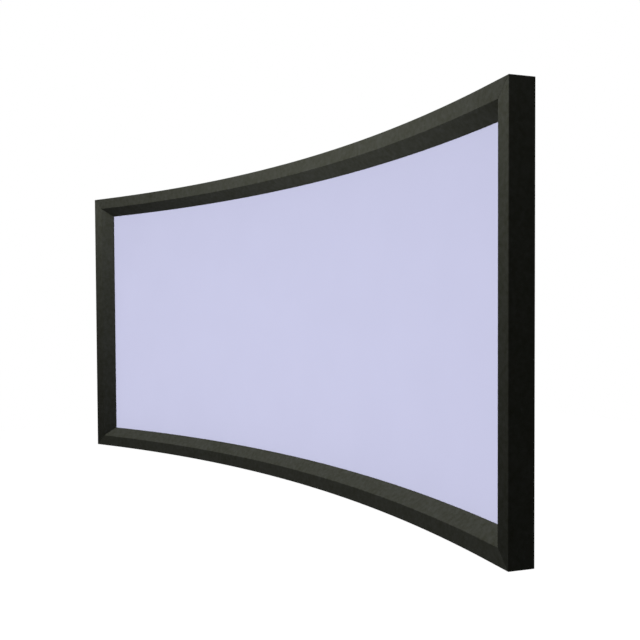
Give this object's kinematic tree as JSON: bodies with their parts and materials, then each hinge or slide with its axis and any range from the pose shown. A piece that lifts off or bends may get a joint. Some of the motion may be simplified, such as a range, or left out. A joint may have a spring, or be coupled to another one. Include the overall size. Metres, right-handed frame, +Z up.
{
  "type": "curved projection screen",
  "caption": "Concave fixed-frame projection screen: a pale picture sheet on tension springs in a wide bevelled black velvet frame that bends around the viewer, with wall brackets behind.",
  "frame": {"origin": "on the floor plane under the middle of the part's bounding box, at the frame's bottom edge", "axes": "+X to the viewer's right across the picture, -Y towards the viewer, +Z up"},
  "size_m": [2.4636, 0.316, 1.155],
  "materials": {
    "velvet_frame": "black velvet flock over an aluminium extrusion, matt",
    "projection_sheet": "matt pale grey PVC projection fabric",
    "hem": "black woven polyester, welded",
    "tension_rod": "pultruded fibreglass",
    "spring_steel": "zinc-plated spring wire",
    "zinc_steel": "zinc-plated steel",
    "bare_aluminium": "black anodised",
    "coated_steel": "black powder coat"
  },
  "bodies": {
    "root": {"top_bar_left": "velvet_frame", "top_bar_right": "velvet_frame", "bottom_bar_left": "velvet_frame", "bottom_bar_right": "velvet_frame", "left_upright": "velvet_frame", "right_upright": "velvet_frame", "screen_sheet": "projection_sheet", "top_hem": "hem", "bottom_hem": "hem", "left_hem": "hem", "right_hem": "hem", "top_rod": "tension_rod", "bottom_rod": "tension_rod", "left_rod": "tension_rod", "right_rod": "tension_rod", "top_spring_01": "spring_steel", "top_spring_02": "spring_steel", "top_spring_03": "spring_steel", "top_spring_04": "spring_steel", "top_spring_05": "spring_steel", "top_spring_06": "spring_steel", "top_spring_07": "spring_steel", "top_spring_08": "spring_steel", "top_spring_09": "spring_steel", "top_spring_10": "spring_steel", "bottom_spring_01": "spring_steel", "bottom_spring_02": "spring_steel", "bottom_spring_03": "spring_steel", "bottom_spring_04": "spring_steel", "bottom_spring_05": "spring_steel", "bottom_spring_06": "spring_steel", "bottom_spring_07": "spring_steel", "bottom_spring_08": "spring_steel", "bottom_spring_09": "spring_steel", "bottom_spring_10": "spring_steel", "left_spring_01": "spring_steel", "left_spring_02": "spring_steel", "left_spring_03": "spring_steel", "left_spring_04": "spring_steel", "right_spring_01": "spring_steel", "right_spring_02": "spring_steel", "right_spring_03": "spring_steel", "right_spring_04": "spring_steel", "top_left_corner_key": "zinc_steel", "top_right_corner_key": "zinc_steel", "bottom_left_corner_key": "zinc_steel", "bottom_right_corner_key": "zinc_steel", "top_joiner": "zinc_steel", "bottom_joiner": "zinc_steel", "centre_brace": "bare_aluminium", "top_brace_clip": "coated_steel", "bottom_brace_clip": "coated_steel", "top_left_wall_bracket": "coated_steel", "top_right_wall_bracket": "coated_steel", "bottom_left_wall_bracket": "coated_steel", "bottom_right_wall_bracket": "coated_steel"}
  },
  "joints": []
}
